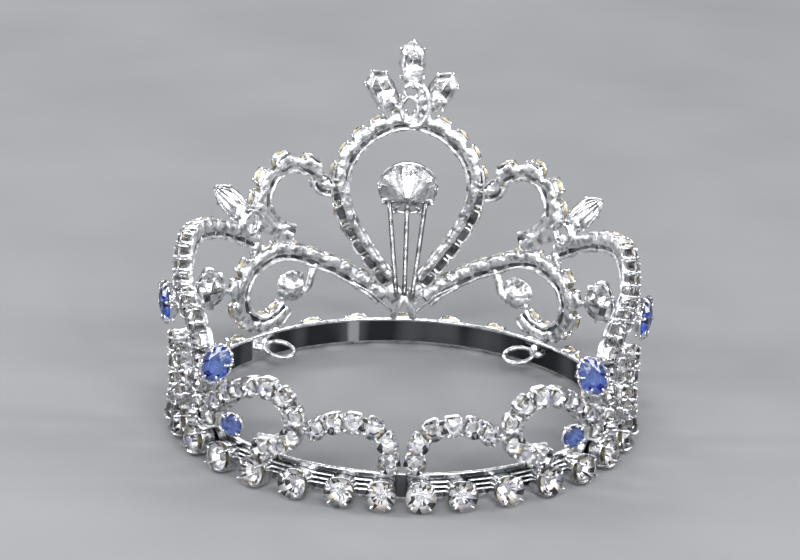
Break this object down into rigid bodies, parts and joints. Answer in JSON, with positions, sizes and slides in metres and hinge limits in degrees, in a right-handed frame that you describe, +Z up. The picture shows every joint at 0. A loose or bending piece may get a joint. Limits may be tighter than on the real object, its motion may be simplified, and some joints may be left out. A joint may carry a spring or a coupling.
{
  "type": "mini crown",
  "caption": "Full-circle mini crown of soldered cup chain with clear and blue stones on a flat metal band, with a tall front loop and a leaf spray on top.",
  "frame": {"origin": "on the surface the crown stands on, at the axis of the band", "axes": "+Z up, -Y towards the front of the crown, +X towards the wearer's left"},
  "size_m": [0.077, 0.0779, 0.0532],
  "materials": {
    "silver_metal": "bright silver plate, soldered",
    "clear_glass": "clear cut stones with a foiled back",
    "blue_glass": "sapphire blue cut stones with a foiled back"
  },
  "bodies": {
    "root": {"band": "silver_metal", "pin_loop_left": "silver_metal", "pin_loop_right": "silver_metal", "base_row_front": "silver_metal", "base_row_left": "silver_metal", "base_row_right": "silver_metal", "base_row_back_left": "silver_metal", "base_row_back_right": "silver_metal", "front_loop": "silver_metal", "centre_setting": "silver_metal", "centre_stone": "clear_glass", "spray_setting": "silver_metal", "spray_stone_top": "clear_glass", "spray_stone_left": "clear_glass", "spray_stone_right": "clear_glass", "arm_left": "silver_metal", "arm_right": "silver_metal", "arm_eye_setting_left": "silver_metal", "arm_eye_setting_right": "silver_metal", "arm_eye_stone_left": "clear_glass", "arm_eye_stone_right": "clear_glass", "shoulder_left": "silver_metal", "shoulder_right": "silver_metal", "drop_setting_left": "silver_metal", "drop_setting_right": "silver_metal", "drop_stone_left": "blue_glass", "drop_stone_right": "blue_glass", "side_arch_left": "silver_metal", "side_arch_right": "silver_metal", "side_eye_setting_left": "silver_metal", "side_eye_setting_right": "silver_metal", "side_eye_stone_left": "blue_glass", "side_eye_stone_right": "blue_glass", "side_scroll_left": "silver_metal", "side_scroll_right": "silver_metal", "side_oval_setting_left": "silver_metal", "side_oval_setting_right": "silver_metal", "side_oval_stone_left": "blue_glass", "side_oval_stone_right": "blue_glass", "back_loop_left": "silver_metal", "back_loop_right": "silver_metal", "back_eye_setting_left": "silver_metal", "back_eye_setting_right": "silver_metal", "back_eye_stone_left": "blue_glass", "back_eye_stone_right": "blue_glass", "back_oval_setting_left": "silver_metal", "back_oval_setting_right": "silver_metal", "back_oval_stone_left": "blue_glass", "back_oval_stone_right": "blue_glass", "back_arch_left": "silver_metal", "back_arch_right": "silver_metal"}
  },
  "joints": []
}
